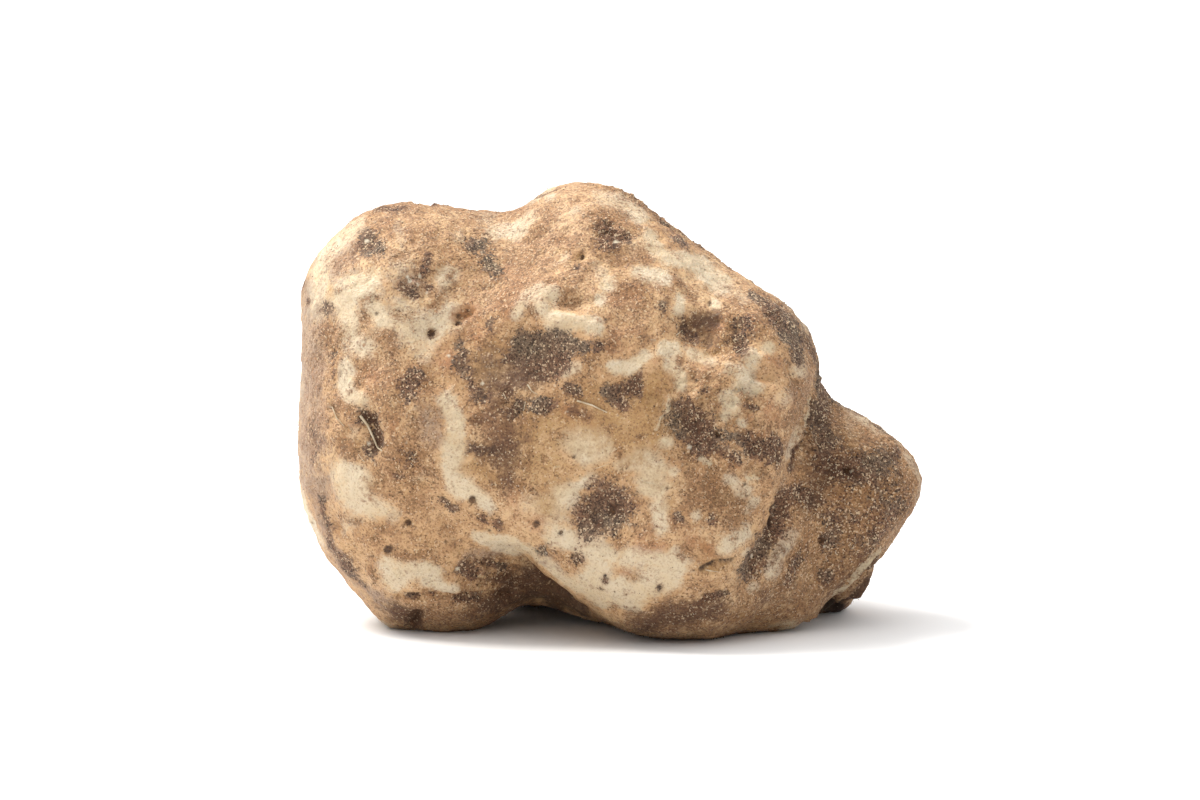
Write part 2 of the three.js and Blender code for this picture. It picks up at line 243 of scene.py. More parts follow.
            (0.35, (-23.6, 23.9), (-23.4, 25), (-22.6, 25.8)), (0.4, (-21.8, 23.1)),
            (0.5, (-25.4, 22), (-24.2, 21.4)), (0.8, (-25, 18.4), (-24.4, 17.4)),
            (0.35, (-18.4, 20.9), (-18.4, 19)), (0.8, (-19.3, 17.4), (-18.2, 17)), (0.5, (-21.5, 15.2)),
            (0.6, (-19, 14.8)), (0.5, (-16.6, 15.4)), (0.3, (-21.4, 10.4)), (0.4, (-22.2, 9.4)),
            (0.4, (-20.4, 7.9), (-18.6, 7.8), (-17, 8.2)), (0.4, (-16.4, 7.2)),
            (0.3, (-25.3, 11.3), (-24.4, 11), (-23.7, 11)), (0.3, (-22.7, 6.6), (-22, 5.3)),
            (1, (-12.4, 20.8)), (0.6, (-17.2, 24)), (0.6, (-10.4, 5.8)), (0.3, (-14.8, 10.2)),
            (0.3, (6.4, 26.2)), (0.35, (7.4, 25.2), (7.9, 24.4), (9.2, 24.7)), (0.5, (-3.4, 7.4)),
            (0.4, (2.1, 5.7)), (0.35, (0.3, 2.9)), (0.25, (-1.8, 3.3)), (0.4, (0.5, 9.7), (0.6, 8.8)),
            (0.5, (7, 8.2)), (0.5, (5.7, 10.8)), (0.3, (3.4, 11.5)), (0.3, (0.6, 15.5)),
            (0.4, (0.5, 17.7), (0.9, 17.2)), (0.3, (4.3, 16.8)), (0.3, (2.7, 19)), (0.3, (-7.6, 17.5)),
            (0.35, (-3.4, 21.2), (-2.4, 21)), (0.2, (-5.4, 19.4), (-4, 18.8)), (0.25, (-7.3, 14)),
            (0.5, (-9.6, 19.4)), (0.4, (-8.4, 16.6)), (0.3, (-6.1, 17)), (0.3, (-0.2, 19.8)),
            (0.8, (17.3, 21.3), (17, 20.5)), (0.6, (17.8, 22.8), (17.3, 23.8)), (0.4, (16.6, 23.6)),
            (0.5, (12.8, 22.8)), (0.6, (17, 26.8)), (0.4, (24, 19.4)), (0.5, (18.4, 8.2)),
            (0.8, (9, 15.8)), (0.7, (17.8, 8.8), (17.2, 7.4), (16.8, 6), (15.6, 4.6)),
            (0.8, (-19.4, 1.8)), (0.4, (7.3, 17.4)), (0.5, (10.8, 30.4)), (0.9, (12.4, 12), (11, 11.4)),
            (0.4, (-17.4, 4.6)),
        ]),
    ],
    "slate": [
        (1, [
            (1.15, (-22.6, 37.1), (-22, 37.2)), (0.7, (-26.5, 30.8)), (0.5, (-17, 35.6)),
            (0.5, (-17.4, 34.5)), (0.8, (-13, 36.9), (-12.3, 37.2)),
            (0.8, (-11.4, 35.4), (-10.9, 34.8)), (0.3, (-14.3, 29.6)), (0.35, (-16.7, 28.8)),
            (0.8, (-0.5, 37), (0.3, 37.4)), (0.7, (1.5, 37.7)), (0.8, (-0.6, 38.5)),
            (0.35, (-3.2, 34.8)), (0.5, (4.7, 31.3)), (1.1, (-8.4, 27.7), (-7, 27.5), (-5.3, 27.4)),
            (1, (-8.7, 26.6), (-6.6, 26.2), (-5.1, 26.5)), (0.9, (-7.6, 25.2), (-6, 25)),
            (0.9, (-4.8, 27.6), (-4.9, 26)), (0.3, (-10, 26), (-9.2, 26.4)),
            (0.6, (-3.3, 27.7), (-2.6, 27.4)), (0.45, (-1.2, 27.4)),
            (0.75, (-23.2, 21), (-22.3, 20.6), (-22, 19.4), (-22.1, 18.3), (-22.7, 17.8)),
            (0.6, (-9.8, 23.2)), (0.7, (-9.3, 21.5), (-8.5, 22)), (0.7, (-6.7, 22), (-6.2, 21.7)),
            (0.5, (-4.1, 23.5), (-3.2, 23.3)), (0.7, (2.4, 24.4), (1.6, 23.8), (2.4, 23.5)),
            (0.55, (-0.5, 23.1), (0.3, 22.3), (1.1, 21.9)), (0.5, (0.4, 23.4)),
            (0.5, (12.1, 27.9), (12.2, 27.3)), (0.4, (12.9, 32.3), (13.8, 31.8)),
            (1, (14.8, 31.2), (15.8, 30.2)), (1.1, (16.4, 29.4), (16.9, 28.2)), (0.6, (17.4, 26.4)),
            (0.3, (12.7, 21.9), (13.6, 21.8)), (0.6, (15.1, 18.5), (15.4, 17.4), (15.2, 16.8)),
            (0.3, (18.7, 22), (18.1, 20), (17.4, 18), (16.6, 16)),
            (1.1, (19.4, 23), (19.6, 20.6), (20.1, 19)), (0.9, (19.8, 17.4), (20.4, 16.2), (22, 15.8)),
            (0.8, (24.6, 15.6)), (0.5, (21, 15.2), (23.6, 15.2)), (0.9, (17.6, 13.9), (18.6, 13.4)),
            (2.3, (-0.4, 12.6), (-0.3, 12.3)), (1, (-1.9, 11.2), (-1.7, 10.4)), (0.6, (-6.5, 8.3)),
            (0.7, (-3.4, 7.5)), (0.35, (-0.5, 5.6)), (0.2, (-0.9, 4.7)), (0.35, (4.5, 4.8)),
            (0.4, (8.6, 3.7), (9.6, 4.1), (10.6, 4.2)), (0.5, (-12.2, 11.4)), (0.4, (-10.6, 10.8)),
            (0.4, (-15.7, 13.1), (-14.6, 12.3)), (0.45, (-13.7, 6.9), (-12.9, 6)), (0.3, (-14.4, 6.6)),
            (0.3, (-11.4, 7.1), (-10, 6.8)), (0.3, (-19.2, 3.9), (-18.3, 3.8)), (0.25, (-16.9, 3.9)),
            (0.35, (-14.4, 3.6), (-12.4, 3.8)),
            (1, (15.8, 12.9), (15.8, 11.4), (15.3, 10.2), (14.7, 9.2)),
            (1.1, (14.2, 8.4), (13.5, 7.4), (12.9, 6.6)), (0.7, (20.2, 9.4)), (0.7, (20.2, 5.8)),
            (0.5, (6.2, 11.5)), (0.5, (9.4, 11.1)), (0.4, (-26.1, 8.7)),
            (0.35, (-28.4, 33.8), (-28.6, 33)), (0.3, (-28.2, 31.6)), (0.25, (5, 39.3), (5.6, 38.7)),
        ]),
        (0.75, [
            (0.6, (-14.1, 27.6), (-13.8, 26.8)), (1.2, (6.2, 20.4), (7.4, 19.8), (8.6, 19.2)),
            (1, (8.6, 18)), (1.3, (23.4, 16.7), (26.2, 16.9)), (0.8, (-14.2, 25.4), (-13.6, 24.8)),
            (0.7, (-12.8, 23.6), (-12.1, 22.9)), (0.9, (-18.9, 24.5), (-18.2, 24.4)),
            (0.9, (-18.8, 23.4), (-18.9, 22.7)), (0.7, (-20, 15.4)),
            (0.5, (-13.2, 18), (-11.6, 17.8), (-10.6, 17.6)), (0.5, (-19.4, 33), (-18.2, 32.3)),
            (0.35, (-17, 33)), (0.7, (5.9, 37.5), (6.8, 36.9)), (0.6, (-11.2, 29.7)),
            (0.5, (10.6, 19.4), (12.6, 19.1)), (0.8, (12.8, 18.2), (14.2, 17.6)), (0.5, (8.8, 23.4)),
            (0.6, (10.4, 17.6), (11.6, 17)), (0.5, (-27, 13), (-26.6, 11), (-26.2, 9.2)),
            (0.6, (-25.4, 7.7), (-24.4, 6.3), (-23.2, 5)),
            (0.4, (22.4, 22), (24.4, 20.4), (26.2, 18.9)), (0.5, (-21.6, 40.2), (-19.4, 40.3)),
            (0.4, (-6.8, 41.4), (-5.2, 42)), (0.7, (18.4, 28), (19.1, 25.6), (19.4, 24)),
            (0.8, (19.9, 23.2), (21.2, 22.2)), (0.9, (7, 29.4), (7.4, 28.8)), (0.7, (6, 22), (7, 22)),
            (1.1, (12, 29.6), (12.2, 28.4)), (0.8, (24.6, 9.4)), (0.7, (17.6, 7.6), (16.4, 5.2)),
        ]),
        (0.5, [
            (0.8, (-26, 27.6), (-25.8, 24.6)), (0.9, (-27.8, 20), (-27.4, 17)), (1.8, (8.4, 20.6)),
            (1.2, (14, 18)), (1.6, (17, 29)), (2.6, (26, 13), (22, 9)), (1.2, (-12.6, 6.8)),
            (1.2, (-18.6, 17.2)), (0.8, (-24.6, 7.6)), (1.6, (20.4, 12)), (1.4, (26.4, 12.2)),
            (0.9, (-10.6, 6.2)),
        ]),
    ],
    # Dark brown: loam, and painted shade on the wall under the belly's lip, in creases, grooves and hollows,
    # and along the undersides.
    "loam_and_shade": [
        (0.95, [
            (1, (-9.6, 5), (-8, 5.2), (-6.4, 4.4), (-4.6, 2.6), (-2.8, 1.4)),
            (0.55, (-8.2, 6.6), (-6.9, 6.1), (-5.4, 4.9), (-4, 3.4), (-2.6, 2.4)),
            (0.7, (-11.6, 3.2), (-9.6, 3.6), (-7.6, 4)), (0.9, (-19.6, 2.2), (-18.8, 1.6)),
            (0.35, (-18.2, 2.2), (-18.5, 1.2)), (0.5, (21.4, 2.6), (20.6, 2.4)),
            (0.5, (21.4, 3.6), (23.4, 5.6), (24.8, 7.4)),
            (0.5, (-23.2, 20.9), (-22.2, 20.6), (-21.9, 19.4), (-22.2, 18)),
            (0.4, (8.2, 30.1), (9.6, 30.3)), (0.3, (18.8, 22), (18.2, 20), (17.4, 18), (16.7, 16.2)),
            (0.4, (15, 11), (14.4, 9.4)), (0.6, (0.1, 12.2)), (0.4, (-1.4, 10.8)),
            (0.4, (6.6, 20.4), (8, 19.6)), (0.3, (-13, 13.1)), (0.3, (-18.9, 10.9)),
            (0.35, (-20.9, 8.4)), (0.3, (-7, 10.8)), (0.3, (9.9, 19.2)), (0.35, (19.7, 9.3)),
            (0.5, (20.8, 15.6), (22.8, 15.3)), (0.3, (-11.4, 5.6), (-9.6, 5.8)), (0.25, (-2.7, 35.8)),
            (0.3, (4.7, 31.1)),
        ]),
        (0.55, [
            (1.4, (-11.6, 26.6), (-11, 25)), (1.7, (-11.2, 23.4), (-10.2, 20.8), (-9.4, 18.4)),
            (1.2, (-9.4, 16.8), (-9.8, 14.4)), (0.9, (-13.2, 18), (-10.6, 17.6)),
            (0.9, (-9, 24.9), (-6.6, 24.3)), (0.7, (-3.8, 21.3), (-2.2, 21.1)), (0.6, (-1.8, 26.2)),
            (0.8, (9.2, 28.6)),
        ]),
        (0.6, [
            (1.2, (3, 1), (6, 1.6), (9, 2.6)), (1.4, (8, 29.6)), (1.6, (-13, 2.4), (-10.6, 3)),
            (1.4, (2.6, 1.8), (8, 3)), (1, (-22, 3.4), (-20, 2.6)), (1.4, (20, 16.4)),
            (1, (20, 20), (19.4, 22)), (0.9, (11.8, 28.8)), (1, (2, 24)), (0.9, (-13.8, 25.8)),
            (1.2, (24, 8), (21, 4.6)), (1.2, (16, 8)), (1, (14.4, 4)), (0.8, (-12.4, 20.4)),
            (1, (8, 21)), (1, (-8.4, 24.2)), (1.4, (19.4, 15), (18.8, 12.4)), (1.2, (10.4, 3)),
            (1.1, (15.4, 16.8)),
        ]),
    ],
    # Grey-brown. Its long rows down the left edge, from -27 to -29 across, are painted shade where the skin
    # turns away from the light; the others are grey-brown patches.
    "taupe": [
        (0.8, [
            (1.5, (-27.4, 29), (-27.6, 22), (-27.6, 17.6)),
            (0.8, (-27, 14.6), (-26.8, 10), (-25.2, 7), (-23.4, 4.8), (-21, 3.6)),
            (1.1, (-17.6, 21), (-17, 19)), (1.2, (-24.6, 35.9), (-25.2, 34.8)), (1.1, (-18.4, 33.4)),
            (1.5, (-28.4, 33), (-28.7, 26), (-28.8, 20), (-28.6, 15)), (0.6, (-6, 7.2)),
            (0.6, (17.3, 23)), (0.9, (26.8, 12.2)), (0.9, (24.6, 9.4)),
            (0.5, (-21.4, 40.2), (-19.4, 40.3)), (0.8, (-13, 7.9), (-10.6, 7.9)),
            (0.7, (-28.2, 28), (-28.6, 22)), (0.6, (16.4, 18.2)),
        ]),
    ],
    "pit": [
        (1, [
            (0.2, (8.4, 6.4), (8.7, 6.8), (9.6, 7.1)), (0.8, (20.2, 2.4), (21.2, 2.8)),
            (0.18, (10.2, 7.2), (11.3, 7.4)), (0.28, (15.4, 12.8), (14.9, 11.8), (15, 10.8)),
        ]),
    ],
    "scar": [
        (0.8, [
            (0.27, (5.3, 22.6), (5.4, 21.4), (4.6, 20.7), (4.3, 19.9)),
            (0.33, (11.7, 22.4), (11.3, 21.8)), (0.27, (18.5, 22.6), (18.2, 21), (17.9, 19.6)),
            (0.3, (12.9, 15.2), (13.6, 15.1)), (0.3, (4.9, 18.6), (5.3, 18.5)),
            (0.2, (25, 8.4), (23.4, 6.9), (22, 5.2), (21, 4.4), (20.2, 3.2), (19.4, 2)),
            (0.35, (19.2, 2), (18.4, 1.6), (16, 0.8)), (0.27, (8.4, 16.9), (9.2, 16.5)),
        ]),
    ],
}

# Marks on the other sides: how many, the least and the most half width, and how strong.
SCATTERED = {
    "cream": [(46, 0.9, 2.6, 0.95)],
    "ochre": [(12, 0.8, 2.4, 0.85)],
    "rust": [(12, 0.4, 1.4, 0.8)],
    "soil": [(34, 2.4, 4.6, 0.55), (40, 0.5, 1.4, 0.95), (9, 2.5, 4, 0.9)],
    "slate": [(52, 0.3, 1.2, 0.9), (10, 1.4, 2.4, 0.75), (10, 1.5, 3, 0.5)],
    "taupe": [(8, 0.8, 1.6, 0.8)],
    "loam_and_shade": [(12, 0.3, 0.8, 0.9), (10, 1, 1.8, 0.5)],
    "scar": [(10, 0.25, 0.4, 1)],
    "pit": [(26, 0.25, 0.45, 1)],
}

# How sharply each kind of mark ends: 1 fades out slowly, 3 stops short.
HARDNESS = {
    "cream": 2.2, "ochre": 1.6, "rust": 1.6, "soil": 1.6, "slate": 1.9,
    "loam_and_shade": 1.7, "taupe": 1.6, "pit": 2.6, "scar": 2.2,
}

# Holes and grains on the belly side that are too small for the skin's own squares: radius, across, up.
# The dark dots are painted near-black: painted shade in the small holes, with brown soil in them.
DARK_DOTS = [
    (0.24, -14.2, 30.3), (0.24, -14.3, 29.6), (0.34, -16.7, 28.8), (0.22, -2.7, 35.8),
    (0.18, 9.1, 31.5), (0.14, -21.8, 30.5), (0.26, 9.9, 19.2), (0.34, -7, 10.8), (0.26, -4.7, 10),
    (0.32, -18.9, 10.9), (0.4, -20.9, 8.4), (0.38, -13, 13.1), (0.12, -16.6, 14.7), (0.26, 19.6, 9.2),
    (0.22, 22, 15.8), (0.16, 22.8, 15.2), (0.18, -18.4, 24.3), (0.16, -0.5, 29.9), (0.14, -3.5, 17.1),
    (0.15, -7.4, 14), (0.15, 2.7, 19), (0.13, -15.5, 9.1), (0.18, 7.9, 24.3), (0.12, 11.7, 33.4),
    (0.15, 12.5, 14.6), (0.26, 0.1, 12), (0.18, -1.4, 10.8), (0.14, 5.2, 14.2), (0.2, 0.4, 13.7),
    (0.14, -11.4, 10.2),
]
PALE_DOTS = [
    (0.2, -22.7, 37.3), (0.26, 0.45, 37.2), (0.14, -18.9, 33.9), (0.12, -18, 33.2), (0.12, -17.8, 34),
    (0.2, 7.3, 18.1), (0.12, 19.9, 8.7), (0.12, 22.4, 15.8), (0.22, -18.7, 33.6), (0.12, -17.1, 32.5),
    (0.15, -22.6, 18.4), (0.13, -12, 24), (0.13, 13.1, 7.8), (0.14, -15.1, 26.6), (0.12, -6.1, 8.1),
    (0.12, -14.4, 6.6), (0.12, -27.4, 18.5),
]

# Root hairs that lie on the belly side: thickness, then the points they run through.
HAIRS = [
    (0.28, (-23.4, 21), (-22.7, 20.1), (-22.2, 19), (-21.8, 18), (-21.4, 17.7)),
    (0.14, (-26, 21.8), (-25.6, 20.8), (-24.9, 20)), (0.2, (-3.2, 22.4), (-1.8, 22), (-0.4, 21.3)),
    (0.14, (-7.8, 23.9), (-7.4, 23.3), (-6.9, 23)), (0.08, (2.8, 14.9), (4, 14.6), (5, 14.2)),
    (0.06, (-0.2, 16.5), (-1.6, 16)), (0.1, (8.8, 6.5), (10, 6.3)), (0.08, (11.6, 26.9), (12.3, 27.4)),
    (0.1, (6, 28.5), (6.6, 29)), (0.08, (-23.6, 17.4), (-23, 16.6)), (0.08, (-10, 23), (-9.7, 22.4)),
    (0.08, (-8, 22.3), (-8.2, 21.4)),
]

# Small forms on the belly side: half width, height above the skin (below it if negative), then the points.
FORMS = [
    (1.1, -0.9, (7.4, 29.2), (9.2, 29.5)), (0.8, -0.7, (11.6, 29.4), (11.9, 28)),
    (0.5, 0.3, (10.2, 28.4), (10.2, 30)), (1, 0.3, (-8.8, 30.2), (-8, 32.4), (-6.5, 33), (-5.2, 32.3)),
    (1.1, 0.25, (-6.5, 31.6), (-5.3, 30.5), (-3.6, 29.8), (-1.4, 29.4)),
    (0.8, -0.6, (-5, 31.8), (-3.4, 31.6)), (0.5, -0.3, (-7.4, 30.7)),
    (1.6, -0.3, (-8, 27.4), (-6, 26.6)), (0.8, -0.4, (0, 22.8), (2.2, 24.2)),
    (0.3, 0.5, (5.3, 22.6), (5.4, 21.4), (4.6, 20.7), (4.3, 19.9)), (0.7, -0.4, (6.4, 21.6), (6, 20.2)),
    (0.3, -0.5, (8.4, 6.4), (8.9, 6.9), (10, 7.2), (11.3, 7.4)), (0.4, 0.25, (8.6, 7.6), (11, 8)),
    (0.4, 0.2, (8.8, 5.9), (10.6, 5.9)),
    (0.7, -0.5, (15.7, 12.8), (15.6, 10.8), (14.4, 9), (13.2, 6.8)),
    (0.25, -0.6, (15.4, 12.8), (14.9, 11.8), (15, 10.8)),
    (0.35, 0.4, (18.5, 22.6), (18.1, 20.6), (17.4, 18.8)),
    (0.4, -0.5, (18.9, 22), (18.3, 19.6), (17, 16.8)),
    (0.75, -1.1, (-22.8, 20.6), (-22.2, 19.6), (-22.3, 18.2)),
    (0.25, -0.35, (-26.2, 22), (-25.2, 20.3), (-24.4, 19.6)), (0.25, -0.3, (-26, 10.8), (-25.1, 10.1)),
    (0.25, -0.3, (-15.8, 11.8), (-15.6, 10.8), (-15.1, 9.6), (-13.9, 8.2)),
    (0.35, -0.6, (-20, 3.9), (-17, 4), (-14, 3.8), (-11, 4.2), (-9, 4.4)),
    (0.4, -0.9, (-18, 2.4), (-18.5, 1.2)), (0.25, -0.25, (-13, 7.6), (-11.5, 7.3), (-9, 6.8)),
    (0.45, -0.9, (-8, 7.3), (-7.2, 6.9), (-6.2, 6.1), (-5, 4.9), (-3.8, 3.6), (-2.6, 2.8)),
    (0.25, -0.25, (-12.4, 6), (-10, 6.2), (-8.6, 5.6)), (0.25, -0.25, (-12, 4.9), (-9.4, 5.1), (-7, 6)),
    (0.35, -0.6, (-14.2, 30.3), (-13.2, 30.7)), (0.3, -0.4, (-14.3, 29.6)), (0.35, -0.5, (-16.7, 28.8)),
    (0.3, -0.5, (-2.7, 35.8)), (0.28, -0.4, (9.1, 31.5)), (0.35, -0.6, (-13, 13.1)),
    (0.3, -0.5, (-18.9, 10.9)), (0.4, -0.5, (-20.9, 8.4)), (0.35, -0.5, (-7, 10.8)),
    (0.28, -0.4, (-4.7, 10)), (0.3, -0.6, (9.9, 19.2)), (0.3, -0.5, (19.6, 9.2)),
    (0.3, -0.5, (22, 15.8)), (0.9, -0.25, (-22.3, 37.1)), (2, -0.2, (-0.2, 12.4)),
    (0.4, 0.3, (20.4, 15.3), (23.6, 15), (26.4, 15.2)),
    (0.25, 0.35, (25, 8.4), (22, 5.2), (20.2, 3.2), (18, 1.5)), (1.5, 1.4, (24, 5.4), (23.2, 3.8)),
    (0.4, -0.9, (24.9, 7.6), (23.2, 5.6), (21.6, 4), (20.9, 2.9)),
    (0.5, 0.5, (12.8, 26.6), (14.4, 26.2)), (0.4, -0.6, (13.4, 25), (15, 24.6)),
    (0.4, 0.4, (10.8, 25.8), (12, 25.2)), (0.4, -0.6, (12.2, 23.8), (13.6, 23.2)),
    (0.45, 0.45, (15.2, 23.4), (16.4, 22.6)), (0.4, 0.5, (7.6, 22.4), (8.6, 23.6)),
    (0.4, -0.6, (9.8, 21.4), (11, 20.6)), (0.4, 0.4, (11.4, 17.6), (12.6, 16.8)),
    (0.35, -0.5, (12.8, 16.2), (14.4, 15.8)), (0.4, 0.4, (14.6, 14.4), (14.8, 13)),
    (0.5, -0.5, (10, 13.4), (11.6, 13.8)), (0.4, 0.4, (12.4, 19.9), (14.2, 19.4)),
    (0.45, -0.5, (16.6, 25.4), (17.2, 24.2)), (0.4, 0.45, (8, 14.6), (9, 15.8)),
    (0.4, -0.45, (4.4, 23.2), (3.4, 22.6)),
]

# Crumbly skin, where the surface is broken up: half width, then the points.
CRUMBLY = [
    (2.6, (6.6, 20.8), (8.6, 18)), (2.2, (9, 23), (12, 22)), (2.2, (9, 14.6)), (1.6, (9, 28.6)),
    (2, (22, 16.2), (26, 16.6)), (1.6, (-8, 27.4)), (1.4, (15.4, 11.6), (14, 8.4)), (2, (-0.4, 12.6)),
    (1.8, (13.6, 18.4)), (1.2, (-9, 22)), (1.2, (1, 23.6)), (2.2, (19.4, 20), (18.4, 14)),
    (1.8, (-12, 6.6)), (1.4, (15.6, 30)), (1.4, (-0.4, 38.4)), (1.2, (-18.2, 33.2)), (1.6, (12, 12)),
]


def sample(points):
    """The points of a mark's line, close together."""
    spots = [Vector(points[0])]
    for end in map(Vector, points[1:]):
        start = spots[-1]
        parts = max(1, round((end - start).length / STEP))
        spots += [start.lerp(end, (i + 1) / parts) for i in range(parts)]
    return spots


class Skin:
    """The skin's points and normals in millimetres, and ways to find places on it."""

    def __init__(self, mesh):
        count = len(mesh.vertices)
        flat = np.empty(count * 3)
        mesh.vertices.foreach_get("co", flat)
        self.points = flat.reshape(count, 3) / MM
        mesh.vertices.foreach_get("normal", flat)
        self.normals = flat.reshape(count, 3)
        self.wandering = np.array([self.wander(Vector(p)) for p in self.points])
        faces = [face.vertices[:] for face in mesh.polygons]
        self.tree = BVHTree.FromPolygons([Vector(p) for p in self.points], faces)

    @staticmethod
    def wander(point):
        """How far a mark's edge strays at a point, so that no blotch is round."""
        return sum((noise.noise_vector(point / length) * far for length, far in WANDER), Vector())

    def front(self, spot):
        """The place on the belly side at a height and a distance across."""
        eye = Vector(EYE)
        aim = Vector((spot[0], READ_DEPTH, spot[1]))
        hit = self.tree.ray_cast(eye, (aim - eye).normalized())[0]
        return hit or self.tree.find_nearest(eye.lerp(aim, MISS_REACH))[0]

    def lay(self, points):
        """The places on the belly side of the points of a mark's line."""
        return [self.front(spot) for spot in sample(points)]

    def dab(self, places, half_width, hardness=2.2, slope_share=1):
        """1 on a mark's line, a half at its half width, 0 away from it."""
        squash = np.array((1, slope_share, 1))
        points = (self.points + self.wandering * min(1, half_width / WANDER_WIDTH)) * squash
        places = np.array(places) * squash
        reach = half_width * MARK_REACH
        inside = ((points > places.min(axis=0) - reach) & (points < places.max(axis=0) + reach)).all(axis=1)
        near = points[inside]
        far = np.full(len(near), np.inf)
        for start, end in list(zip(places[:-1], places[1:])) or [(places[0], places[0])]:
            along = end - start
            share = np.clip((near - start) @ along / max(along @ along, TINY), 0, 1)
            far = np.minimum(far, np.linalg.norm(near - start - share[:, None] * along, axis=1))
        cover = np.zeros(len(points))
        cover[inside] = np.exp(-math.log(2) * (far / half_width) ** hardness)
        return cover


def select_only(piece):
    bpy.ops.object.select_all(action="DESELECT")
    piece.select_set(True)
    bpy.context.view_layer.objects.active = piece


def apply_modifier(piece, kind, **settings):
    """Adds a modifier with its settings, and applies it."""
    select_only(piece)
    modifier = piece.modifiers.new(kind.title(), kind)
    for name, value in settings.items():
        setattr(modifier, name, value)
    bpy.ops.object.modifier_apply(modifier=modifier.name)


def new_piece(name, mesh):
    piece = bpy.data.objects.new(name, mesh)
    bpy.context.scene.collection.objects.link(piece)
    return piece


def weigh(piece, name, weights):
    """A vertex group from a list of weights."""
    group = piece.vertex_groups.new(name=name)
    for i in np.nonzero(weights > LEAST_WEIGHT)[0]:
        group.add([int(i)], float(min(weights[i], 1)), "REPLACE")
    return group.name


def lumps(name, size, noise_type="SOFT_NOISE"):
    """A texture that a Displace modifier raises lumps with."""
    texture = bpy.data.textures.new(name, "CLOUDS")
    texture.noise_scale = size * MM
    texture.noise_type = noise_type
    return texture


def raise_lumps(piece, texture, height, group=""):
    """Lumps as high as a texture says, all over a piece or in one vertex group."""
    settings = {"texture_coords": "LOCAL", "mid_level": 0.5, "vertex_group": group}
    apply_modifier(piece, "DISPLACE", texture=texture, strength=height * MM, **settings)


def truffle_body():
    """A copy of the solid, remade from small even squares that can hold fine forms."""
    mesh = bpy.data.objects["truffle"].data.copy()
    body = new_piece("truffle_skin", mesh)
    mesh.materials.clear()
    select_only(body)
    bpy.ops.object.mode_set(mode="EDIT")
    bpy.ops.mesh.select_all(action="SELECT")
    bpy.ops.mesh.remove_doubles(threshold=SEAM * MM)
    bpy.ops.object.mode_set(mode="OBJECT")
    apply_modifier(body, "REMESH", mode="VOXEL", voxel_size=SKIN_VOXEL * MM)
    apply_modifier(body, "SMOOTH", factor=0.5, iterations=SKIN_SMOOTHING)
    apply_modifier(body, "SUBSURF", levels=1, render_levels=1)
    return body


def random_vector(chance, most):
    return Vector([chance.uniform(-most, most) for _ in range(3)])


def scatter_marks(skin, chance):
    """Marks of the same kinds on the sides that the tables leave bare."""
    away = np.nonzero(skin.normals[:, 1] > FAR_SIDE)[0]

    def place():
        return Vector(skin.points[chance.choice(away)])

    def trail(half_width):
        """The places that a long mark runs through, wandering a little over the skin."""
        places = [place()]
        way = random_vector(chance, 1).normalized()
        for _ in range(chance.choice(TRAIL_STEPS)):
            step = places[-1] + way * half_width * TRAIL_STRIDE
            places.append(skin.tree.find_nearest(step)[0])
            way = (way + random_vector(chance, TRAIL_TURN)).normalized()
        return places

    marks = {kind: [] for kind in SCATTERED}
    for kind, rows in SCATTERED.items():
        for count, least, most, strength in rows:
            for _ in range(count):
                half_width = chance.uniform(least, most)
                if kind == "pit":
                    places = [place()]
                else:
                    places = trail(SCAR_WIDTH if kind == "scar" else half_width)
                marks[kind].append((strength, half_width, places))
    return marks


def paint_cover(skin, scattered):
    """How strongly each kind of mark covers each point of the skin."""
    painted = {}
    for kind, tables in COVER.items():
        bare = np.ones(len(skin.points))
        for strength, rows in tables:
            for half_width, *points in rows:
                bare *= 1 - strength * skin.dab(skin.lay(points), half_width, HARDNESS[kind], SLOPE_SHARE)
        for strength, half_width, places in scattered[kind]:
            bare *= 1 - strength * skin.dab(places, half_width, HARDNESS[kind])
        painted[kind] = 1 - bare
    return painted


def shape_forms(body, skin, scattered):
    """Raises and sinks the small forms, then roughens the crumbly skin. Gives how crumbly it is."""
    height = np.zeros(len(skin.points))
    for half_width, rise, *points in FORMS:
        height += rise * skin.dab(skin.lay(points), half_width)
    for _, half_width, places in scattered["pit"]:
        height -= PIT_DEPTH * skin.dab(places, max(half_width, PIT_WIDTH))
    crumbly = 1 - np.prod([1 - skin.dab(skin.lay(row[1:]), row[0], 2) for row in CRUMBLY], axis=0)
    for _, half_width, places in scattered["slate"]:
        crumbly = np.maximum(crumbly, SOIL_CRUMBS * skin.dab(places, half_width, 2))
    raised = weigh(body, "raised", height)
    sunk = weigh(body, "sunk", -height)
    rough = weigh(body, "crumbly", crumbly)
    apply_modifier(body, "DISPLACE", strength=MM, mid_level=0, vertex_group=raised)
    apply_modifier(body, "DISPLACE", strength=-MM, mid_level=0, vertex_group=sunk)
    raise_lumps(body, lumps("swellings", SWELLINGS[0]), SWELLINGS[1])
    raise_lumps(body, lumps("dimples", DIMPLES[0]), DIMPLES[1])
    raise_lumps(body, lumps("crumbs", CRUMBS[0], "HARD_NOISE"), CRUMBS[1], rough)
    body.vertex_groups.clear()
    return crumbly


def keep_attribute(piece, name, values):
    layer = piece.data.attributes.new(name, "FLOAT", "POINT")
    layer.data.foreach_set("value", np.asarray(values, dtype=np.float32))


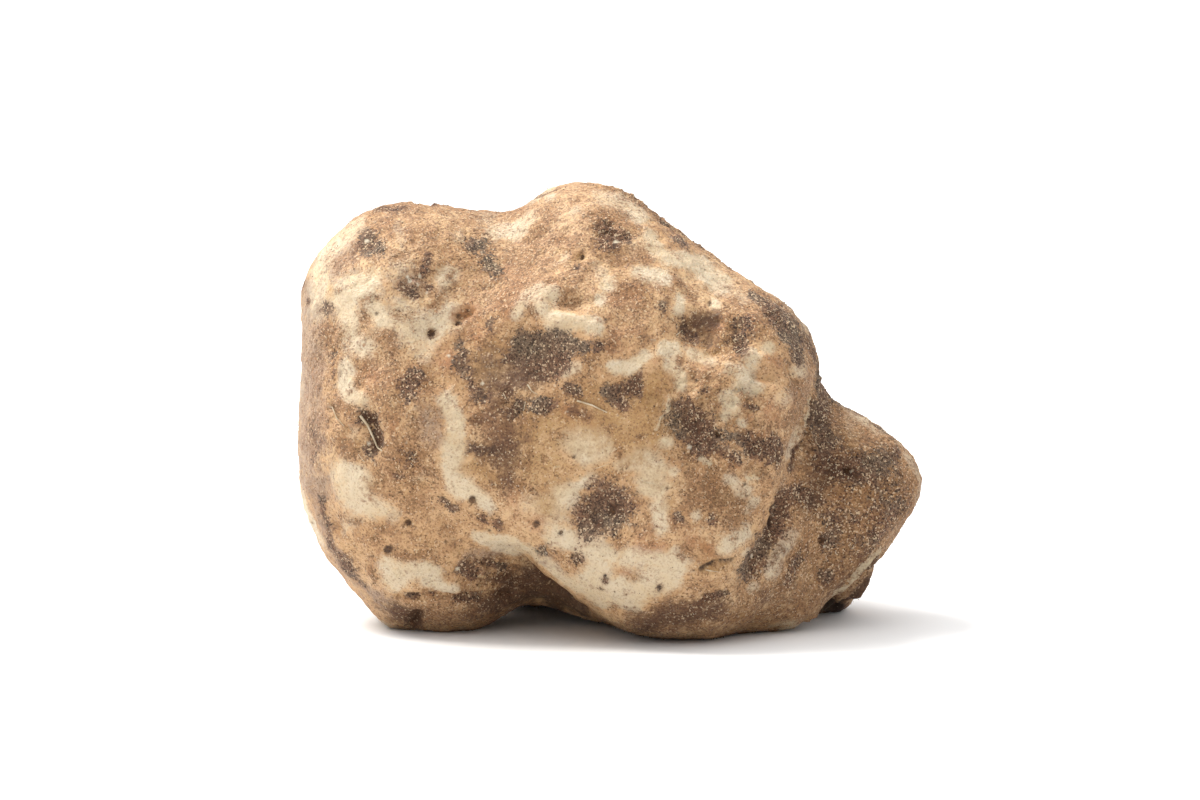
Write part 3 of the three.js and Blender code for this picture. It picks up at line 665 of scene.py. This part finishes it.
class Wire:
    """A node's output. Python arithmetic on it adds Math nodes."""

    def __init__(self, shader, socket):
        self.shader = shader
        self.socket = socket

    def math(self, operation, *others, clamp=False):
        sockets = dict(enumerate((self, *others)))
        return self.shader.node("ShaderNodeMath", {"operation": operation, "use_clamp": clamp}, sockets)

    def __add__(self, other):
        return self.math("ADD", other)

    def __sub__(self, other):
        return self.math("SUBTRACT", other)

    def __rsub__(self, other):
        return (self * -1) + other

    def __mul__(self, other):
        return self.math("MULTIPLY", other)

    __radd__ = __add__
    __rmul__ = __mul__

    def clamp(self):
        return self.math("ADD", 0, clamp=True)

    def below(self, level, softness):
        """1 where this is well below a level, 0 well above it."""
        return ((level - self) * (1 / softness) + 0.5).clamp()


class Nodes:
    """A tree of nodes, and the ways to add to it."""

    def __init__(self, tree):
        self.tree = tree

    def node(self, kind, settings=None, sockets=None, out=0):
        """Adds a node: first its settings, then the values or links of its sockets."""
        node = self.tree.nodes.new(kind)
        for name, value in (settings or {}).items():
            setattr(node, name, value)
        for name, value in (sockets or {}).items():
            self.feed(node.inputs[name], value)
        return Wire(self, node.outputs[out])

    def feed(self, socket, value):
        if isinstance(value, Wire):
            self.tree.links.new(value.socket, socket)
        else:
            socket.default_value = value


class Shader(Nodes):
    """A material's nodes. Sizes are in millimetres."""

    def __init__(self, name):
        self.material = bpy.data.materials.new(name)
        self.material.use_nodes = True
        super().__init__(self.material.node_tree)

    def finish(self, **sockets):
        surface = self.tree.nodes["Principled BSDF"]
        for name, value in sockets.items():
            self.feed(surface.inputs[name.replace("_", " ")], value)
        return self.material

    def millimetres(self):
        place = self.node("ShaderNodeTexCoord", out="Object")
        return self.node("ShaderNodeVectorMath", {"operation": "SCALE"}, {"Vector": place, "Scale": 1 / MM})

    def noise(self, place, size, detail, roughness, seed):
        """Cloudy noise, spread out over the levels between 0 and 1."""
        sockets = {"Vector": place, "W": seed, "Scale": 1 / size, "Detail": detail, "Roughness": roughness}
        cloud = self.node("ShaderNodeTexNoise", {"noise_dimensions": "4D"}, sockets)
        return ((cloud - 0.5) * 2.2 + 0.5).clamp()

    def grains(self, place, size):
        """Two random levels for each of many small uneven cells, such as grains of soil."""
        cell = self.node("ShaderNodeTexVoronoi", None, {"Vector": place, "Scale": 1 / size}, out="Color")
        color = {"Color": cell}
        return [self.node("ShaderNodeSeparateColor", None, color, out=band) for band in ("Red", "Green")]

    def dots(self, place, rows, edge):
        """1 on each small dot of a list of radius and middle, with an uneven edge."""
        total = 0
        distance = {"operation": "DISTANCE"}
        for radius, middle in rows:
            away = self.node("ShaderNodeVectorMath", distance, {0: place, 1: middle}, out="Value")
            total = (away + (edge - 0.5) * DOT_WANDER).below(radius, DOT_EDGE) + total
        return total.clamp()

    def attribute(self, name):
        return self.node("ShaderNodeAttribute", {"attribute_name": name}, out="Fac")

    def mix(self, under, over, share):
        return self.node("ShaderNodeMix", {"data_type": "RGBA"}, {0: share, 6: under, 7: over}, out=2)


def pigment(red, green, blue):
    """A colour as a painter reads it off a chart, 0 to 255, as light."""
    def light(level):
        level *= PIGMENT_DEPTH / 255
        return level / 12.92 if level <= 0.04045 else ((level + 0.055) / 1.055) ** 2.4
    return (light(red), light(green), light(blue), 1)


def skin_material(dark_dots, pale_dots):
    """The skin's material, laid on in layers: each line's last value is how much of it covers the rest."""
    s = Shader("truffle_skin")
    place = s.millimetres()
    mark = {kind: s.attribute(kind) for kind in COVER}
    broad = s.noise(place, size=7, detail=3, roughness=0.5, seed=1)
    patchy = s.noise(place, size=3.4, detail=2, roughness=0.5, seed=6)
    blotchy = s.noise(place, size=1.8, detail=4, roughness=0.65, seed=2)
    fine = s.noise(place, size=0.6, detail=3, roughness=0.7, seed=3)
    ragged = blotchy * 0.45 + fine * 0.55
    pick, shade = s.grains(place, size=0.15)
    coarse_pick, coarse_shade = s.grains(place, size=0.28)
    pick = pick * 0.65 + coarse_pick * 0.35

    def patch(kind, edge=1.6, spread=2.2):
        """Where a kind of mark lies: how sharp its edge is, and how far it breaks up."""
        return ((mark[kind] - 0.5) * edge + (ragged - 0.5) * spread + 0.5).clamp()

    # Clean skin: tan, with waxy cream where it has been wiped, and stains of ochre and rust.
    tan = s.mix(pigment(226, 176, 120), pigment(246, 206, 156), broad)
    tan = s.mix(tan, pigment(196, 144, 92), (blotchy * 1.4 - 0.4).clamp())
    cream = s.mix(pigment(238, 207, 160), pigment(250, 236, 208), patchy * 0.6 + fine * 0.4)
    clean = patch("cream", edge=2.2, spread=1.8)
    skin = s.mix(tan, cream, clean * 0.92)
    yellow = s.mix(pigment(162, 108, 50), pigment(210, 166, 98), fine * 0.5 + shade * 0.5)
    skin = s.mix(skin, yellow, patch("ochre") * 0.75)
    skin = s.mix(skin, pigment(184, 108, 56), patch("rust") * 0.5)
    # Grey taupe: grey-brown patches, and painted shade along the left edge where the skin turns away from
    # the light.
    skin = s.mix(skin, pigment(168, 144, 124), patch("taupe") * 0.75)

    # Brown stain around the dried soil, and brown specks everywhere, fewer on the cream.
    stain = (mark["slate"] * 1.3 + (ragged - 0.5) * 0.8 - 0.1).clamp()
    stain = stain + patch("soil", edge=1.4, spread=1.8) * 0.5
    skin = s.mix(skin, s.mix(pigment(160, 112, 74), pigment(144, 96, 58), blotchy), stain.clamp() * 0.65)
    skin = s.mix(skin, pigment(150, 104, 60), (0.3 - shade).clamp() * (2.6 - clean * 1.6))

    # Dried soil: single brown grains that close up to a film, a dark crust where thick, then loam and
    # painted shade.
    share = (mark["soil"] * 0.8 + (ragged - 0.5) * 1.1 + 0.1 - clean * 0.22).clamp()
    film = ((share - pick) * 2.5 + 0.5).clamp()
    skin = s.mix(skin, s.mix(pigment(84, 50, 24), pigment(196, 142, 92), shade), film * 0.72)
    crust = ((mark["slate"] * 1.8 - 0.42 + (ragged - 0.5) * 1.6 - pick) * 2.4 + 0.5).clamp()
    grey = s.mix(pigment(34, 27, 22), pigment(158, 132, 106), shade)
    violet = s.mix(pigment(46, 27, 18), pigment(158, 114, 84), shade)
    skin = s.mix(skin, s.mix(grey, violet, (patchy * 2 - 0.3).clamp()), crust * 0.92)
    # Dark brown, partly loam and partly painted shade: under the belly's lip, in creases, grooves and
    # hollows, and on the undersides.
    loam_and_shade_colour = s.mix(pigment(58, 32, 16), pigment(118, 74, 42), fine * 0.6 + shade * 0.4)
    loam_and_shade_share = (patch("loam_and_shade", edge=1.8, spread=1.2) * 1.1 - pick * 0.2).clamp()
    skin = s.mix(skin, loam_and_shade_colour, loam_and_shade_share * 0.85)

    # Pale sand, thickest in the soil, then the small scars and holes.
    dirt = (mark["soil"] * 0.55 + mark["slate"] * 0.7 + 0.12).clamp()
    sand = (1 - (shade * 0.7 + coarse_shade * 0.3)).below(0.09 + dirt * 0.12, 0.04)
    skin = s.mix(skin, pigment(246, 216, 176), sand * (0.45 + dirt * 0.3))
    grit = fine + pick - 1
    skin = s.mix(skin, pigment(238, 216, 178), (mark["scar"] * 1.8 + grit * 1.2 - 0.4).clamp() * 0.8)
    # Pits and dark dots: painted shade in holes too small to shade themselves, with brown soil in them.
    skin = s.mix(skin, pigment(56, 32, 16), (mark["pit"] * 1.6 + grit * 0.8 - 0.4).clamp() * 0.9)
    hole = s.mix(pigment(34, 18, 8), pigment(124, 80, 34), pick)
    skin = s.mix(skin, hole, s.dots(place, dark_dots, fine * 0.6 + pick * 0.4) * 0.9)
    skin = s.mix(skin, pigment(240, 224, 196), s.dots(place, pale_dots, fine))

    height = blotchy * 0.35 + fine * (0.4 + dirt * 0.4) + pick * (0.08 + dirt * 0.22)
    relief = {"Height": height, "Strength": 1, "Distance": BUMP_HEIGHT * MM}
    return s.finish(
        Base_Color=skin,
        Roughness=(0.5 + dirt * 0.45).clamp(),
        Normal=s.node("ShaderNodeBump", sockets=relief),
        Subsurface_Weight=0.1,
        Subsurface_Radius=FLESH_GLOW,
        Subsurface_Scale=FLESH_DEPTH * MM,
    )


def mottled_material(name, dark, pale, roughness):
    s = Shader(name)
    shade = s.noise(s.millimetres(), size=0.6, detail=1, roughness=0.4, seed=12.5)
    return s.finish(Base_Color=s.mix(dark, pale, shade), Roughness=roughness)


def grain_shape():
    """One grain: a ball of twenty faces, knocked out of true."""
    bpy.ops.mesh.primitive_ico_sphere_add(subdivisions=1, radius=1)
    grain = bpy.context.object
    facets = lumps("facets", GRAIN_FACETS)
    apply_modifier(grain, "DISPLACE", texture=facets, texture_coords="LOCAL", strength=GRAIN_KNOCK)
    corners = np.array([corner.co for corner in grain.data.vertices])
    faces = np.array([face.vertices[:] for face in grain.data.polygons])
    bpy.data.objects.remove(grain)
    return corners, faces


def scatter_grains(name, skin, density, chance):
    """Copies of one grain, sunk a little into the skin, more of them where the density is high."""
    corners, faces = grain_shape()
    spots = chance.choices(range(len(skin.points)), weights=density, k=GRAIN_COUNT)
    all_corners = []
    for spot in spots:
        size = chance.uniform(*GRAIN_RADIUS) * MM
        axis = random_vector(chance, 1)
        turn = Matrix.Rotation(chance.uniform(0, math.tau), 3, axis)
        stretch = Matrix.Diagonal([chance.uniform(*GRAIN_STRETCH) for _ in range(3)])
        slip = np.array([chance.uniform(-GRAIN_SLIP, GRAIN_SLIP) for _ in range(3)])
        middle = (skin.points[spot] + slip + skin.normals[spot] * GRAIN_LIFT) * MM
        all_corners.append(corners @ np.array(turn @ stretch).T * size + middle)
    first_corners = np.arange(GRAIN_COUNT)[:, None, None] * len(corners)
    mesh = bpy.data.meshes.new(name)
    mesh.from_pydata(np.concatenate(all_corners), [], (faces[None] + first_corners).reshape(-1, 3))
    return new_piece(name, mesh)


def root_hairs(skin):
    """Thin hairs lying on the skin, as one mesh."""
    line = bpy.data.curves.new("root_hairs", "CURVE")
    line.dimensions = "3D"
    line.bevel_depth = MM / 2   # so that a point's radius is the hair's thickness there
    line.bevel_resolution = 1
    line.use_fill_caps = True
    for thickness, *points in HAIRS:
        places = skin.lay(points)
        spline = line.splines.new("POLY")
        spline.points.add(len(places) - 1)
        for i, (point, place) in enumerate(zip(spline.points, places)):
            share = i / (len(places) - 1)
            lift = math.sin(math.pi * share) * HAIR_ARCH + HAIR_LIFT
            point.co = (*(place + Vector((0, -lift, 0))) * MM, 1)
            point.radius = thickness * (1 - HAIR_TAPER * share)
    piece = new_piece("root_hairs", line)
    select_only(piece)
    bpy.ops.object.convert(target="MESH")
    piece.data.shade_smooth()
    root = mottled_material("root", pigment(196, 170, 132), pigment(240, 222, 190), 0.6)
    piece.data.materials.append(root)
    return piece


def pale_floor():
    bpy.ops.mesh.primitive_plane_add(size=FLOOR_SIZE)
    floor = bpy.context.object
    floor.name = "floor"
    paper = Shader("white_paper")
    floor.data.materials.append(paper.finish(Base_Color=(0.82, 0.82, 0.82, 1), Roughness=0.9))


def sky_light():
    """A soft sky, brightest overhead, that the camera sees as plain white."""
    world = bpy.data.worlds.new("studio")
    world.use_nodes = True
    bpy.context.scene.world = world
    sky = Nodes(world.node_tree)
    aim = sky.node("ShaderNodeTexCoord")
    height = sky.node("ShaderNodeSeparateXYZ", sockets={"Vector": aim}, out="Z")
    glow = HORIZON_GLOW + OVERHEAD_GLOW * height.math("MAXIMUM", 0).math("POWER", GLOW_CURVE)
    seen = sky.node("ShaderNodeLightPath")
    background = world.node_tree.nodes["Background"].inputs
    sky.feed(background["Strength"], glow * (1 - seen) + seen)
    sky.feed(background["Color"], (1, 1, 1, 1))


def softbox(name, place, size, power):
    lamp = bpy.data.lights.new(name, "AREA")
    lamp.size = size
    lamp.energy = power
    lamp.color = (1, 0.975, 0.94)
    box = new_piece(name, lamp)
    box.location = place
    box.rotation_euler = (Vector(LIGHT_AIM) - Vector(place)).to_track_quat("-Z", "Y").to_euler()


def camera():
    lens = bpy.data.cameras.new("camera")
    lens.lens = LENS
    lens.sensor_width = SENSOR
    lens.clip_start = 0.01
    view = new_piece("camera", lens)
    view.location = Vector(EYE) * MM
    view.rotation_euler = (Vector(TARGET) - Vector(EYE)).to_track_quat("-Z", "Y").to_euler()
    bpy.context.scene.camera = view


camera()
noise.seed_set(SEED)
chance = random.Random(SEED)
body = truffle_body()
skin = Skin(body.data)
scattered = scatter_marks(skin, chance)
painted = paint_cover(skin, scattered)
crumbly = shape_forms(body, skin, scattered)
for kind, values in painted.items():
    keep_attribute(body, kind, values)
body.data.shade_smooth()
skin = Skin(body.data)
dots = [[(radius, skin.front(spot)) for radius, *spot in rows] for rows in (DARK_DOTS, PALE_DOTS)]
body.data.materials.append(skin_material(*dots))
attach(body, "root")
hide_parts("truffle")

dirt = CLEAN_DIRT + painted["soil"] + painted["slate"] + 0.5 * crumbly
grains = {
    "sand_grains": mottled_material("sand", pigment(190, 156, 120), pigment(236, 218, 190), 0.4),
    "soil_grains": mottled_material("soil", pigment(52, 34, 22), pigment(120, 84, 56), 0.9),
}
for name, material in grains.items():
    piece = scatter_grains(name, skin, dirt, chance)
    piece.data.materials.append(material)
    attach(piece, "root")

hairs = root_hairs(skin)
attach(hairs, "root")

pale_floor()
sky_light()
softbox("key_light", place=(-0.44, 0.14, 0.74), size=0.45, power=12.5)
bpy.context.scene.view_settings.view_transform = "Standard"
